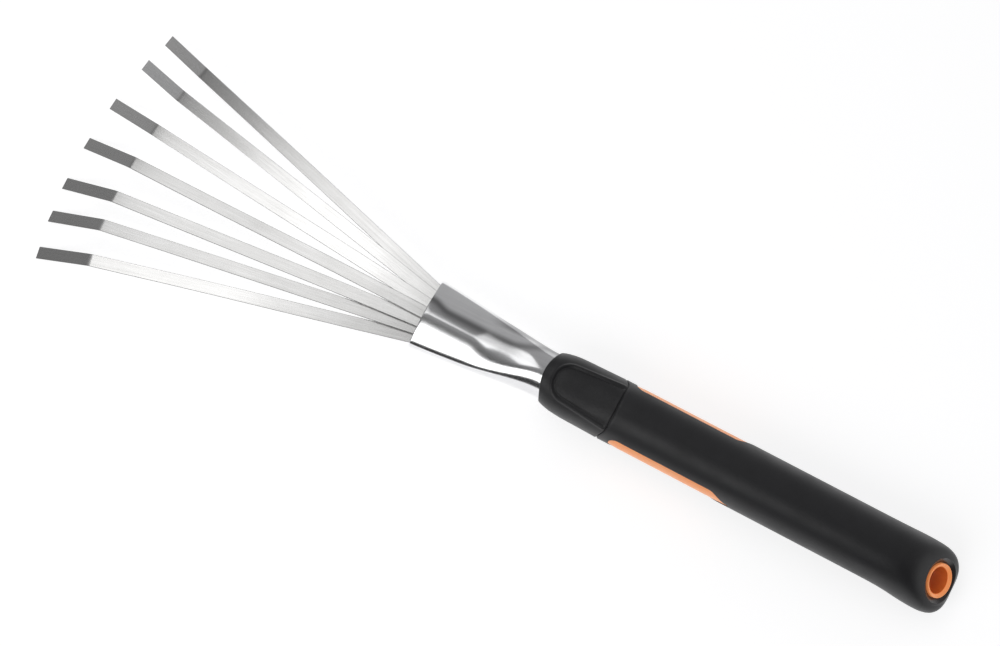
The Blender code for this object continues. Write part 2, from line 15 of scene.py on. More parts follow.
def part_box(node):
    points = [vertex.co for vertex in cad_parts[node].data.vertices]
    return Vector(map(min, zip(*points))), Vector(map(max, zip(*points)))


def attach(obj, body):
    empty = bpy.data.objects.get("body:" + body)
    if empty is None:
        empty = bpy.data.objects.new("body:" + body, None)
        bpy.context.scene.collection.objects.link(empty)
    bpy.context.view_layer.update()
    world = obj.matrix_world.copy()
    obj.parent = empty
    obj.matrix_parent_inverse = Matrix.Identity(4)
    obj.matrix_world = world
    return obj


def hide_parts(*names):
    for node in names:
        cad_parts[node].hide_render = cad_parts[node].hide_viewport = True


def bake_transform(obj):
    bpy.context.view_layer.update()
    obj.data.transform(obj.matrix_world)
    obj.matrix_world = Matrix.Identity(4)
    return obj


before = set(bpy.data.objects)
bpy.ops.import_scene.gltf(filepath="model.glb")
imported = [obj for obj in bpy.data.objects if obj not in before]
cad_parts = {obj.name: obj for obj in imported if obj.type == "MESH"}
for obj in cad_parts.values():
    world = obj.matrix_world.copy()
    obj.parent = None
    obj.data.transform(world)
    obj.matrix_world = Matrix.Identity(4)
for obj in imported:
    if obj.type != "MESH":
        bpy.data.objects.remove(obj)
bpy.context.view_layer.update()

MM = 0.001

# ------------------------------------------------------------ driving places
collar_low, collar_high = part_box("front_collar")
SEAM_X = round(collar_high[0] * 1000.0, 2)
AXIS_Y = round((collar_low[1] + collar_high[1]) * 500.0, 2)
AXIS_Z = 18.0
# where the tines cross, and the middle height of their stack
APEX_X, APEX_Y, STACK_Z = SEAM_X - 47.9, AXIS_Y - 1.0, 17.7


# --------------------------------------------------------------- mathematics
def smooth(share):
    """Smooth step from 0 to 1, held outside that range."""
    share = min(max(share, 0.0), 1.0)
    return share * share * (3.0 - 2.0 * share)


def turns(count):
    """Angles of a full turn in equal steps."""
    return [2.0 * math.pi * i / count for i in range(count)]


def squared(value, power):
    """Sine or cosine bent towards a squarer section; power 2 leaves it round."""
    return math.copysign(abs(value) ** (2.0 / power), value)


def curve_through(rows, x):
    """Monotone cubic through rows of (x, a, b, ...), at x."""
    stations = [row[0] for row in rows]
    last = len(stations) - 1
    if x <= stations[0]:
        return rows[0][1:]
    if x >= stations[-1]:
        return rows[-1][1:]
    start = max(i for i in range(last) if stations[i] <= x)
    gap = stations[start + 1] - stations[start]
    share = (x - stations[start]) / gap

    def chord(i, column):
        return (rows[i + 1][column] - rows[i][column]) / (stations[i + 1] - stations[i])

    def slope(i, column):
        if i in (0, last):
            return chord(0 if i == 0 else i - 1, column)
        before, after = chord(i - 1, column), chord(i, column)
        return 0.0 if before * after <= 0.0 else 2.0 * before * after / (before + after)

    return [
        rows[start][column] * (2 * share**3 - 3 * share**2 + 1)
        + slope(start, column) * gap * (share**3 - 2 * share**2 + share)
        + rows[start + 1][column] * (-2 * share**3 + 3 * share**2)
        + slope(start + 1, column) * gap * (share**3 - share**2)
        for column in range(1, len(rows[0]))
    ]


def even_run(points, count):
    """Run along a line of points, and count even steps of it without its end."""
    steps = np.linalg.norm(np.diff(points, axis=0), axis=1)
    run = np.concatenate([[0.0], np.cumsum(steps)])
    return run, np.linspace(0.0, run[-1], count, endpoint=False)


def edge_rounding(depth, width, distance):
    """Inset of a rounded edge, at a distance in from the end."""
    return depth * (1.0 - math.sqrt(max(0.0, 1.0 - (1.0 - min(distance / width, 1.0)) ** 2)))


# --------------------------------------------------------------- mesh helpers
def finish_mesh(obj, angle=40.0):
    """Smooth shading, with edges sharper than the angle kept sharp."""
    obj.data.shade_smooth()
    obj.data.set_sharp_from_angle(angle=math.radians(angle))


def coat(obj, angle, *materials):
    finish_mesh(obj, angle)
    for material in materials:
        obj.data.materials.append(material)


def register(obj, replaced=None):
    """Attach a piece to the handle's body, and hide the CAD part it replaces, if any."""
    if replaced:
        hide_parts(replaced)
    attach(obj, "handle")


def rings_mesh(name, rings, uvs=None, loop=False, attribute=None):
    """Mesh through rings of equal length. loop joins the last ring to the
    first; otherwise the ends are capped. uvs, and attribute as (name, values),
    give one value per point."""
    ring_count, size = len(rings), len(rings[0])
    points = [Vector(point) * MM for ring in rings for point in ring]
    faces = []
    for k in range(ring_count if loop else ring_count - 1):
        here, there = k * size, (k + 1) % ring_count * size
        for i in range(size):
            j = (i + 1) % size
            faces.append((here + i, here + j, there + j, there + i))
    if not loop:
        faces.append(tuple(range(size))[::-1])
        faces.append(tuple((ring_count - 1) * size + i for i in range(size)))
    mesh = bpy.data.meshes.new(name)
    mesh.from_pydata([tuple(point) for point in points], [], faces)
    if uvs:
        layer = mesh.uv_layers.new(name="run")
        flat = [uv for ring in uvs for uv in ring]
        for corner in mesh.loops:
            layer.data[corner.index].uv = flat[corner.vertex_index]
    if attribute:
        key, values = attribute
        made = mesh.attributes.new(key, "FLOAT", "POINT")
        made.data.foreach_set("value", [value for ring in values for value in ring])
    bm = bmesh.new()
    bm.from_mesh(mesh)
    bmesh.ops.recalc_face_normals(bm, faces=bm.faces)
    bm.to_mesh(mesh)
    bm.free()
    obj = bpy.data.objects.new(name, mesh)
    bpy.context.scene.collection.objects.link(obj)
    finish_mesh(obj)
    return obj


def boolean(obj, other, operation="DIFFERENCE"):
    """Apply another object to obj, and remove it."""
    modifier = obj.modifiers.new("cut", "BOOLEAN")
    modifier.operation = operation
    modifier.object = other
    modifier.solver = "EXACT"
    bpy.context.view_layer.update()
    graph = bpy.context.evaluated_depsgraph_get()
    mesh = bpy.data.meshes.new_from_object(obj.evaluated_get(graph))
    obj.modifiers.clear()
    obj.data = mesh
    bpy.data.objects.remove(other, do_unlink=True)


def prism(name, outline, y0, y1):
    """Closed prism of an outline in XZ between two y values."""
    return rings_mesh(name, [[(x, y, z) for x, z in outline] for y in (y0, y1)])


def plane_across(axis):
    """Two unit vectors square to an axis."""
    first = axis.orthogonal().normalized()
    return first, axis.cross(first)


def circle(centre, first, second, radius, count):
    """Ring about a centre, in the plane of two vectors."""
    return [
        centre + first * radius * math.cos(turn) + second * radius * math.sin(turn)
        for turn in turns(count)
    ]


def axis_ring(stations, radius):
    """Ring about the tool's axis, with an x for each point."""
    return [
        (x, AXIS_Y + radius * math.sin(turn), AXIS_Z + radius * math.cos(turn))
        for x, turn in zip(stations, turns(len(stations)))
    ]


def rod(name, radius, start, end, segments=96, end_radius=None):
    """Cutter cylinder or cone between two points."""
    start, end = Vector(start), Vector(end)
    plane = plane_across((end - start).normalized())
    ends = ((start, radius), (end, radius if end_radius is None else end_radius))
    return rings_mesh(name, [circle(at, *plane, size, segments) for at, size in ends])


def swept_bead(name, path, normals, radius, segments, flat):
    """Closed bead along a closed path; flat scales its height."""
    rings = []
    for i, (point, up) in enumerate(zip(path, normals)):
        along = (path[(i + 1) % len(path)] - path[i - 1]).normalized()
        side = along.cross(up).normalized()
        up = side.cross(along).normalized()
        rings.append(circle(point, side, up * flat, radius, segments))
    return rings_mesh(name, rings, loop=True)


# ------------------------------------------------------------ material helper
def fill_ramp(ramp, stops):
    """Set a colour ramp from (position, (r, g, b) or grey) stops."""
    while len(ramp.elements) < len(stops):
        ramp.elements.new(0.5)
    for element, (position, colour) in zip(ramp.elements, stops):
        element.position = position
        if isinstance(colour, (int, float)):
            colour = (colour, colour, colour)
        element.color = (*colour, 1.0)


class Nodes:
    """Short-hand for building a material's node tree."""

    def __init__(self, name):
        self.material = bpy.data.materials.new(name)
        self.material.use_nodes = True
        self.tree = self.material.node_tree
        self.bsdf = self.tree.nodes["Principled BSDF"]

    def node(self, kind, **settings):
        made = self.tree.nodes.new(kind)
        for key, value in settings.items():
            setattr(made, key, value)
        return made

    def link(self, output, into):
        self.tree.links.new(output, into)

    def feed(self, output, name):
        """Link an output to a named input of the surface."""
        self.link(output, self.bsdf.inputs[name])

    def set(self, **values):
        for key, value in values.items():
            self.bsdf.inputs[key.replace("_", " ")].default_value = value

    def mapping(self, vector, scale):
        made = self.node("ShaderNodeMapping")
        made.inputs["Scale"].default_value = scale
        self.link(vector, made.inputs["Vector"])
        return made.outputs["Vector"]

    def coords(self, scale=(1.0, 1.0, 1.0), output="Object"):
        return self.mapping(self.node("ShaderNodeTexCoord").outputs[output], scale)

    def noise(self, vector, scale, detail, roughness):
        made = self.node("ShaderNodeTexNoise")
        made.inputs["Scale"].default_value = scale
        made.inputs["Detail"].default_value = detail
        made.inputs["Roughness"].default_value = roughness
        self.link(vector, made.inputs["Vector"])
        return made.outputs["Fac"]

    def ramp(self, value, stops):
        made = self.node("ShaderNodeValToRGB")
        fill_ramp(made.color_ramp, stops)
        self.link(value, made.inputs["Fac"])
        return made.outputs["Color"]

    def attribute(self, name):
        return self.node("ShaderNodeAttribute", attribute_name=name).outputs["Fac"]

    def math(self, operation, first, second):
        made = self.node("ShaderNodeMath", operation=operation)
        for socket, value in zip(made.inputs, (first, second)):
            if isinstance(value, (int, float)):
                socket.default_value = value
            else:
                self.link(value, socket)
        return made.outputs["Value"]

    def weighted(self, *parts):
        """Sum of (value, weight) parts."""
        total = None
        for value, weight in parts:
            part = self.math("MULTIPLY", value, weight)
            total = part if total is None else self.math("ADD", total, part)
        return total

    def painted_light_scaled(self, colour):
        """Colour scaled by an attribute of the mesh that carries painted reflection and shade."""
        painted_light = self.attribute("painted_light")
        made = self.node("ShaderNodeVectorMath", operation="SCALE")
        self.link(colour, made.inputs[0])
        self.link(painted_light, made.inputs["Scale"])
        return made.outputs["Vector"]

    def bump(self, height, strength, distance, normal=None):
        made = self.node("ShaderNodeBump")
        made.inputs["Strength"].default_value = strength
        made.inputs["Distance"].default_value = distance
        self.link(height, made.inputs["Height"])
        if normal is not None:
            self.link(normal, made.inputs["Normal"])
        return made.outputs["Normal"]


# ------------------------------------------------------------------ materials
# Noise scales are per metre, bump distances are in metres, and ramp stops are
# (noise level, colour or value).
def spring_steel():
    """Hardened strip: fine grain rolled along its length, in uneven tone from noise, scaled by
    painted reflection and shade carried on the mesh.
    """
    nodes = Nodes("spring_steel_strip")
    run = nodes.coords(output="UV")
    # streaks are long along the run (U) and fine across the strip (V)
    fine = nodes.mapping(run, (60.0, 6000.0, 1.0))
    streak = nodes.noise(fine, scale=1.0, detail=5.0, roughness=0.65)
    wide = nodes.mapping(run, (14.0, 900.0, 1.0))
    broad = nodes.noise(wide, scale=1.0, detail=3.0, roughness=0.5)
    blot = nodes.noise(nodes.coords(), scale=55.0, detail=3.0, roughness=0.55)
    mixed = nodes.weighted((streak, 0.55), (broad, 0.25), (blot, 0.20))
    colour = nodes.ramp(
        mixed, [(0.30, (0.74, 0.735, 0.72)), (0.52, (0.86, 0.855, 0.845)), (0.75, 0.95)]
    )
    nodes.feed(nodes.painted_light_scaled(colour), "Base Color")
    nodes.feed(nodes.ramp(mixed, [(0.3, 0.30), (0.7, 0.20)]), "Roughness")
    nodes.set(Metallic=1.0, Anisotropic=0.35)
    nodes.feed(nodes.bump(streak, strength=0.08, distance=0.00003), "Normal")
    return nodes.material


def stainless(name, with_painted_light=False):
    """Stainless steel: satin polish with faint lines along X."""
    nodes = Nodes(name)
    stretched = nodes.coords((18.0, 900.0, 900.0))
    lines = nodes.noise(stretched, scale=1.0, detail=4.0, roughness=0.6)
    soft = nodes.noise(nodes.coords(), scale=70.0, detail=3.0, roughness=0.5)
    mixed = nodes.weighted((lines, 0.5), (soft, 0.5))
    colour = nodes.ramp(mixed, [(0.3, (0.74, 0.74, 0.75)), (0.7, (0.86, 0.86, 0.865))])
    # the socket's colour can be scaled by painted reflection and shade carried on the mesh
    if with_painted_light:
        colour = nodes.painted_light_scaled(colour)
    nodes.feed(colour, "Base Color")
    nodes.feed(nodes.ramp(mixed, [(0.3, 0.20), (0.7, 0.13)]), "Roughness")
    nodes.set(Metallic=1.0)
    normal = nodes.bump(lines, strength=0.05, distance=0.00003)
    nodes.feed(nodes.bump(soft, strength=0.05, distance=0.0004, normal=normal), "Normal")
    return nodes.material


def black_plastic(name, base, rough, grain_scale, grain, mask=None, wave=0.0):
    """Moulded black plastic with a fine grain and slight wear in its sheen.
    mask names an attribute that scales the grain; wave adds a soft unevenness."""
    nodes = Nodes(name)
    where = nodes.coords()
    fine = nodes.noise(where, scale=grain_scale, detail=2.0, roughness=0.5)
    soft = nodes.noise(where, scale=90.0, detail=4.0, roughness=0.6)
    low = [channel * 0.80 for channel in base]
    high = [channel * 1.25 for channel in base]
    nodes.feed(nodes.ramp(soft, [(0.3, low), (0.7, high)]), "Base Color")
    nodes.feed(nodes.ramp(soft, [(0.3, rough + 0.05), (0.7, rough - 0.05)]), "Roughness")
    height = fine
    if mask:
        height = nodes.math("MULTIPLY", fine, nodes.attribute(mask))
    normal = nodes.bump(height, strength=grain, distance=0.00012)
    if wave:
        normal = nodes.bump(soft, strength=wave, distance=0.0006, normal=normal)
    nodes.feed(normal, "Normal")
    nodes.set(Specular_IOR_Level=0.5)
    return nodes.material


ORANGE_BRIGHT_STOPS = ((0.3, (1.0, 0.36, 0.12)), (0.7, (1.0, 0.40, 0.15)))
# darker orange for the bore: painted shade inside the hanging hole
ORANGE_PAINTED_SHADE_STOPS = ((0.3, (0.80, 0.20, 0.035)), (0.7, (0.86, 0.23, 0.045)))


def orange_plastic(name, painted_glow, stops=ORANGE_BRIGHT_STOPS):
    """Orange moulding with a little light carried under its surface by subsurface scattering, and a
    painted glow from emission.
    """
    nodes = Nodes(name)
    where = nodes.coords()
    soft = nodes.noise(where, scale=60.0, detail=3.0, roughness=0.5)
    fine = nodes.noise(where, scale=2600.0, detail=2.0, roughness=0.5)
    nodes.feed(nodes.ramp(soft, stops), "Base Color")
    nodes.feed(nodes.ramp(soft, [(0.3, 0.36), (0.7, 0.28)]), "Roughness")
    nodes.set(
        Subsurface_Weight=0.12,
        Subsurface_Scale=0.004,
        Subsurface_Radius=(1.0, 0.35, 0.12),
        Emission_Strength=painted_glow,
        Emission_Color=(1.0, 0.32, 0.10, 1.0),
    )
    nodes.feed(nodes.bump(fine, strength=0.06, distance=0.00005), "Normal")
    return nodes.material


SPRING = spring_steel()
STAINLESS = stainless("stainless_tube")
# the socket's steel carries painted reflection and shade in its colour
SOCKET_STEEL = stainless("stainless_socket", with_painted_light=True)
COLLAR_BLACK = black_plastic(
    "black_hard_plastic",
    base=(0.009, 0.009, 0.0105), rough=0.44, grain_scale=2600.0, grain=0.9, mask="panel",
)
GRIP_BLACK = black_plastic(
    "black_soft_grip",
    base=(0.014, 0.014, 0.016), rough=0.44, grain_scale=3200.0, grain=0.16, wave=0.05,
)
# painted glow: the orange mouldings shine a little by emission
ORANGE = orange_plastic("orange_plastic", painted_glow=0.14)
# painted highlight: the lining's rim and mouth glow more strongly
ORANGE_RIM_PAINTED_HIGHLIGHT = orange_plastic("orange_rim_painted_highlight", painted_glow=0.34)
# painted shade: darker orange, nearly without glow, for the inside of the bore
ORANGE_PAINTED_SHADE = orange_plastic("orange_bore_painted_shade", painted_glow=0.02, stops=ORANGE_PAINTED_SHADE_STOPS)
# lighter, glossier black for the dished edge round the hanging hole: the lighter base colour is a
# painted highlight, the lower roughness is real
DISH_BLACK_PAINTED_HIGHLIGHT = black_plastic(
    "black_soft_dish_painted_highlight", base=(0.030, 0.029, 0.030), rough=0.27, grain_scale=3200.0, grain=0.10
)


# ---------------------------------------------------------------------- tines
STRIP_W, STRIP_T, STRIP_CORNER, STACK_PITCH = 5.4, 0.75, 0.17, 0.87
END_TRIM = 0.10  # chamfer on both ends of a strip
RIVET_HOLE_R = 1.5
# Distances from the rivet: how far the strip runs behind it, where bending
# starts to be counted from, and the bend where the tip turns down.
ROOT_BACK, PIVOT_R, BEND_R = 7.0, 60.1, 184.4
# slope of the tip in degrees, half length of the bend, length of the tip
TIP_SLOPE, BEND_REACH, TIP_LENGTH = 25.5, 1.4, 28.2
# Angle in plan (+ is to +Y), flare of the tip, twist at the bend, all in
# degrees; level in the stack; painted reflection and shade near the socket,
# further out and on the tip; how much, and over what length, painted shade
# darkens the strip before the bend.
TINES = {
    "tine_1": (15.6, 4.0, 13.0, -2, 1.06, 0.76, 1.02, 0.32, 20.0),
    "tine_2": (11.25, 6.3, 12.5, 0, 1.08, 1.06, 1.26, 0.34, 10.0),
    "tine_3": (5.5, 3.4, 7.5, 2, 1.06, 1.00, 0.96, 0.42, 5.0),
    "tine_4": (0.15, 0.6, 0.0, 3, 0.84, 0.72, 0.72, 0.34, 9.0),
    "tine_5": (-5.05, -2.0, -5.1, 1, 0.82, 0.74, 0.60, 0.24, 8.0),
    "tine_6": (-9.25, -2.7, -9.0, -1, 0.72, 0.76, 0.58, 0.10, 6.0),
    "tine_7": (-14.2, 0.3, -2.9, -3, 0.66, 0.95, 0.64, 0.0, 5.0),
}


def upward(along, across):
    """Normal of a strip's upper face."""
    up = along.cross(across)
    return -up if up.z < 0.0 else up


def square_to(vector, along):
    return (vector - along * vector.dot(along)).normalized()


def tine_height(radius, level, bend_z):
    offset = level * STACK_PITCH * (1.0 - smooth((radius - 63.0) / 90.0))
    fall = smooth((radius - 35.0) / 240.0) / smooth((BEND_R - 35.0) / 240.0)
    return STACK_Z + offset - (STACK_Z - bend_z) * fall


def tine_frames(angle, flare, twist, level, bend_z):
    """Frames (middle, along, across, run from the root) down one tine."""
    heading = math.radians(angle)
    out = Vector((-math.cos(heading), math.sin(heading), 0.0))
    level_side = Vector((math.sin(heading), math.cos(heading), 0.0))
    apex = Vector((APEX_X, APEX_Y, 0.0))

    def frame_at(radius):
        z = tine_height(radius, level, bend_z)
        rise = tine_height(radius + 0.5, level, bend_z) - z
        along = (out * 0.5 + Vector((0.0, 0.0, rise))).normalized()
        turn = math.radians(twist) * smooth((radius - 50.0) / 130.0)
        across = level_side * math.cos(turn) + upward(along, level_side) * math.sin(turn)
        return apex + out * radius + Vector((0.0, 0.0, z)), along, across

    frames = []
    for i in range(63):
        radius = -ROOT_BACK + 3.0 * i
        frames.append((*frame_at(radius), radius + ROOT_BACK))

    # the bend is a short quadratic curve about its corner
    corner, ahead, side = frame_at(BEND_R)
    tip_heading = heading + math.radians(flare)
    slope = math.radians(TIP_SLOPE)
    down = Vector(
        (
            -math.cos(tip_heading) * math.cos(slope),
            math.sin(tip_heading) * math.cos(slope),
            -math.sin(slope),
        )
    )
    tip_side = square_to(side, down)
    begin, end = corner - ahead * BEND_REACH, corner + down * BEND_REACH
    for i in range(11):
        share = i / 10
        rest = 1 - share
        middle = begin * rest**2 + corner * 2 * share * rest + end * share * share
        along = (ahead * rest + down * share).normalized()
        across = square_to(side * rest + tip_side * share, along)
        run = BEND_R + ROOT_BACK - BEND_REACH + 2 * BEND_REACH * share
        frames.append((middle, along, across, run))
    for i in range(1, 10):
        run = TIP_LENGTH * (0.08 + 0.92 * i / 9)
        frames.append((corner + down * run, down, tip_side, BEND_R + ROOT_BACK + run))
    return frames


def strip_section(trim):
    """Rounded section of the strip as (across, up), four points a corner."""
    across = STRIP_W / 2.0 - trim - STRIP_CORNER
    up = STRIP_T / 2.0 - trim - STRIP_CORNER
    points = []
    for centre_across, centre_up, start in (
        (across, up, 0.0),
        (-across, up, 90.0),
        (-across, -up, 180.0),
        (across, -up, 270.0),
    ):
        for k in range(4):
            turn = math.radians(start + 30.0 * k)
            points.append(
                (
                    centre_across + STRIP_CORNER * math.cos(turn),
                    centre_up + STRIP_CORNER * math.sin(turn),
                )
            )
    return points


# Painted light along a strip: painted reflection that varies near the socket, further out and on the
# tip, and painted shade darkening it before the bend.
def painted_strip_light(run, tone_in, tone_out, tone_tip, painted_shade, painted_shade_run):
    before_bend = BEND_R + ROOT_BACK - run
    painted_light = tone_in + (tone_out - tone_in) * smooth((run - ROOT_BACK - 50.0) / 80.0)
    painted_light *= 1.0 - painted_shade * math.exp(-max(before_bend, 0.0) / painted_shade_run)
    return painted_light + (tone_tip - painted_light) * smooth((0.8 - before_bend) / 1.6)


def moved(frame, distance):
    """Frame moved along its own direction."""
    middle, along, across, run = frame
    return middle + along * distance, along, across, run


def build_tine(name, angle, flare, twist, level, *painted_light_values):
    # settle the height of the bend so that the tip rests on the floor
    bend_z = 12.6
    for _ in range(4):
        middle, along, across, _run = tine_frames(angle, flare, twist, level, bend_z)[-1]
        up = upward(along, across)
        bend_z -= middle.z - abs(across.z) * STRIP_W / 2.0 - up.z * STRIP_T / 2.0
    first, *inner, last = tine_frames(angle, flare, twist, level, bend_z)
    frames = [first, moved(first, END_TRIM), *inner, moved(last, -END_TRIM), last]

    rings, uvs, painted_lights = [], [], []
    for i, (middle, along, across, run) in enumerate(frames):
        up = upward(along, across)
        section = strip_section(END_TRIM if i in (0, len(frames) - 1) else 0.0)
        rings.append([middle + across * a + up * b for a, b in section])
        uvs.append([(run * MM, (a + 0.3 * b) * MM + 0.37 * level) for a, b in section])
        painted_light = painted_strip_light(run, *painted_light_values)
        # painted shade: the middle points of each rounded corner are darker, a painted reflection of
        # dark surroundings on the strip's edges
        painted_lights.append([painted_light * (1.0 if k % 4 in (0, 3) else 0.38) for k in range(len(section))])
    obj = rings_mesh(name + "_strip", rings, uvs, attribute=("painted_light", painted_lights))
    below, above = ((APEX_X, APEX_Y, STACK_Z + reach) for reach in (-6, 6))
    boolean(obj, rod("hole", RIVET_HOLE_R, below, above, 32))
    obj.data.materials.clear()
    coat(obj, 12.0, SPRING)
    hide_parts(name)

    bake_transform(obj)


for tine_name, tine_values in TINES.items():
    build_tine(tine_name, *tine_values)

# ---------------------------------------------------------------------- rivet
RIVET_HEAD_R, RIVET_SHANK_R = 2.6, 1.25
RIVET_RIM, RIVET_DOME = 0.12, 0.88  # heights of the head's straight rim and dome


def build_rivet():
    half = 3 * STACK_PITCH + STRIP_T / 2.0 + 0.2
    top = []  # (radius, height) from the crown down to the shank
    for k in range(9):
        turn = math.pi / 2 * k / 8
        height = half + RIVET_RIM + RIVET_DOME * math.cos(turn)
        top.append((RIVET_HEAD_R * math.sin(turn), height))
    top += [(RIVET_HEAD_R, half), (RIVET_SHANK_R, half)]
    profile = top + [(radius, -z) for radius, z in reversed(top)]
    plane = Vector((1, 0, 0)), Vector((0, 1, 0))
    rings = [
        circle(Vector((APEX_X, APEX_Y, STACK_Z + z)), *plane, max(radius, 0.01), 48)
        for radius, z in profile
    ]
    obj = rings_mesh("rivet_turned", rings)
    coat(obj, 40.0, STAINLESS)
    register(obj, "tine_rivet")


build_rivet()

# --------------------------------------------------------------------- socket
MOUTH_X = SEAM_X - 89.5
MOUTH_HALF_W, MOUTH_HALF_H = 15.5, 3.95
ROOF_PLUS_Y, ROOF_MINUS_Y = 1.18, 1.50  # fall of the section to either side
MOUTH_RISE = 0.6  # middle of the mouth above the tine stack
NECK_R, TANG_R, WALL = 10.25, 9.0, 0.7
SWAGE_START, SWAGE_END = SEAM_X - 27.0, SEAM_X - 21.0
TUBE_END_X = SEAM_X + 50.0
SOCKET_COUNT = 144


def socket_point(x, turn, inset):
    """Point of the tube, flat and wide at the mouth and round at the neck."""
    run = min(max((x - MOUTH_X) / (SEAM_X - 34.0 - MOUTH_X), 0.0), 1.0)
    roundness = 0.10 * run + 0.90 * smooth((x - SEAM_X + 66.0) / 31.0)
    flat = 1.0 - roundness
    swage = smooth((x - SWAGE_START) / (SWAGE_END - SWAGE_START))
    radius = NECK_R + (TANG_R - NECK_R) * swage
    half_w = MOUTH_HALF_W + (radius - MOUTH_HALF_W) * (0.65 * run + 0.35 * smooth(run))
    half_h = MOUTH_HALF_H + (radius - MOUTH_HALF_H) * roundness
    middle = STACK_Z + MOUTH_RISE + (AXIS_Z - STACK_Z - MOUTH_RISE) * roundness
    power = 2.0 + 2.0 * flat
    across = squared(math.sin(turn), power) * (half_w - inset)
    up = squared(math.cos(turn), power) * (half_h - inset)
    steep = ROOF_MINUS_Y if across < 0.0 else ROOF_PLUS_Y
    drop = steep * flat * (math.sqrt(1.0 + (across / 4.0) ** 2) - 1.0)
    return (x, AXIS_Y + across, middle + up - drop)


def socket_ring(x, inset):
    """Ring of the tube with its points evenly spaced round the section."""
    fine = [2.0 * math.pi * i / 1440 for i in range(1441)]
    points = np.array([socket_point(x, turn, inset)[1:] for turn in fine])
    run, even = even_run(points, SOCKET_COUNT)
    return [socket_point(x, turn, inset) for turn in np.interp(even, run, fine)]


def painted_socket_light(point):
    """Painted reflection and shade on the steel: darker along a band on the +Y
    side of the roof's middle, with a darker line at its +Y edge, and on the +Y
    flank of the neck."""
    x, across = point[0] - SEAM_X, point[1] - AXIS_Y
    if point[2] < STACK_Z - 2.5:
        return 1.0
    painted_line_across = 3.3 + 2.2 * smooth((-80.0 - x) / 9.0) + 5.6 * smooth((x + 51.0) / 17.0)
    painted_shade = smooth((across + 2.0) / 2.5) * (1.0 - smooth((across - painted_line_across) / 3.0))
    painted_shade *= 1.0 - 0.55 * smooth((x + 52.0) / 9.0)
    painted_light = 1.04 - 0.42 * painted_shade - 0.34 * math.exp(-(((across - painted_line_across) / 1.7) ** 2))
    flank = smooth((across - 7.6) / 2.2) * smooth((x + 66.0) / 14.0)
    return painted_light * (1.0 - 0.50 * flank)


def build_socket():
    # outside, from the tube's end to the mouth
    outside = [TUBE_END_X - 1.0 - i * 4.0 for i in range(18)]
    outside += [SWAGE_END - i * 1.0 for i in range(7)]
    x = SWAGE_START - 1.5
    while x > MOUTH_X + 1.0:
        outside.append(x)
        x -= 1.25
    outside.append(MOUTH_X + 0.6)
    stations = [(x, 0.0) for x in outside]
    # rolled rim of the mouth, half the wall in radius
    rim = WALL / 2.0
    for k in range(1, 7):
        turn = math.pi * k / 7
        stations.append((MOUTH_X + rim - rim * math.sin(turn), rim - rim * math.cos(turn)))
    # inside, back to the tube's end
    inside = [MOUTH_X + 0.6, MOUTH_X + 3.0, MOUTH_X + 8.0]
    inside += [MOUTH_X + 14.0 + 6.0 * i for i in range(8)]
    inside += [SWAGE_START - 1.0, SWAGE_START + 2.0, SWAGE_END]
    inside += [TUBE_END_X - 10.0, TUBE_END_X - 1.0]
    stations += [(x, WALL) for x in inside]
    rings = [socket_ring(x, inset) for x, inset in stations]
    # painted reflection and shade on the socket, one value per point
    painted_lights = [[painted_socket_light(point) for point in ring] for ring in rings]
    obj = rings_mesh("socket_pressed", rings, loop=True, attribute=("painted_light", painted_lights))
    coat(obj, 60.0, SOCKET_STEEL)
    register(obj, "socket_tube")


build_socket()

# --------------------------------------------------------------------- handle
SEAM_GAP, SEAM_SLANT = 0.4, 2.4
# (x from the seam, bottom z, top z, half width)
GRIP = (
    (0.0, 4.35, 31.65, 13.65), (3.0, 4.40, 31.75, 13.60), (8.0, 4.15, 31.85, 13.85),
    (30.0, 4.15, 31.85, 13.85), (60.0, 4.15, 31.85, 13.85), (90.0, 4.15, 31.85, 13.85),
    (116.0, 4.15, 31.85, 13.85), (124.0, 4.05, 31.75, 13.90), (130.0, 3.30, 31.30, 14.10),
    (134.0, 2.10, 30.70, 14.35), (138.4, 0.85, 29.70, 14.55), (142.4, 0.15, 28.40, 14.60),
    (145.8, 0.00, 26.80, 14.45), (149.0, 0.35, 24.40, 13.85), (151.6, 1.35, 21.60, 12.75),
    (153.6, 2.80, 18.60, 11.05), (155.1, 4.40, 15.60, 8.70), (155.9, 6.20, 12.80, 5.60),
    (156.1, 7.80, 11.20, 2.90),
)
# the same columns
COLLAR = (
    (-33.4, 7.30, 28.72, 10.75), (-32.0, 7.10, 28.85, 10.95), (-30.6, 6.80, 29.02, 11.20),
    (-29.0, 6.35, 29.30, 11.75), (-27.0, 5.95, 29.52, 12.25), (-24.0, 5.60, 29.80, 12.75),
    (-19.5, 5.20, 30.00, 13.05), (-13.0, 4.90, 30.35, 13.20), (-6.5, 4.60, 30.95, 13.40),
    (0.0, 4.35, 31.65, 13.65),
)
# hanging hole: its centre on the slanted face of the butt, and the face's normal
HOLE = Vector((SEAM_X + 149.2, AXIS_Y, 17.2))
TILT = math.radians(43.0)
NORMAL = Vector((math.sin(TILT), 0.0, math.cos(TILT)))
HOLE_R, EYELET_R, SINK_R, SINK_DEPTH = 5.7, 7.3, 9.8, 1.5
FACE_SOFTNESS = 1.3  # softness of the edge between the slanted face and the butt
# windows in the flanks of the grip: x and z ranges, and shape in XZ
WINDOW = (SEAM_X + 2.9, SEAM_X + 58.6, 13.2, 25.6)
WINDOW_CORNER, WINDOW_TAPER, WINDOW_OVERLAP = 4.2, 9.0, 1.0
WINDOW_FAR_Y = 18.0  # reach of the window cutters from the axis
SIDES = (("left", 1.0), ("right", -1.0))  # +Y and -Y
LIP_R, LIP_INSET = 0.30, 0.24


